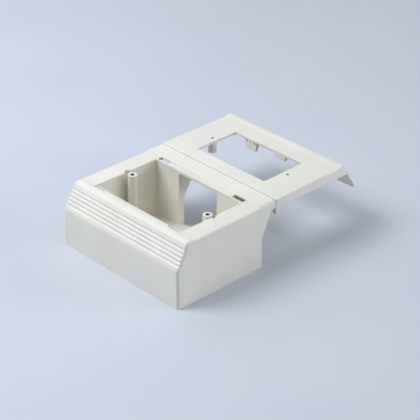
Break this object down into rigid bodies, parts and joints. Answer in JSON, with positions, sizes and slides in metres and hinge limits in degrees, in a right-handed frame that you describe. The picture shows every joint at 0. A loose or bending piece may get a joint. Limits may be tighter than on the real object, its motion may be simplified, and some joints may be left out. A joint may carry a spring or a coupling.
{
  "type": "surface raceway box",
  "caption": "Open off-white wiring box with a grooved bevel along its front and a clipped-on device bracket that reaches over a surface raceway.",
  "frame": {"origin": "centre of the box's base, on the wall plane that the box is screwed to", "axes": "+Z out of the wall, +Y from the grooved front across to the raceway, +X along the raceway"},
  "size_m": [0.13, 0.196, 0.0534],
  "materials": {
    "box_plastic": "moulded off-white ABS, satin",
    "bracket_plastic": "moulded off-white ABS, satin"
  },
  "bodies": {
    "root": {"offset_box": "box_plastic", "device_bracket": "bracket_plastic"}
  },
  "joints": []
}
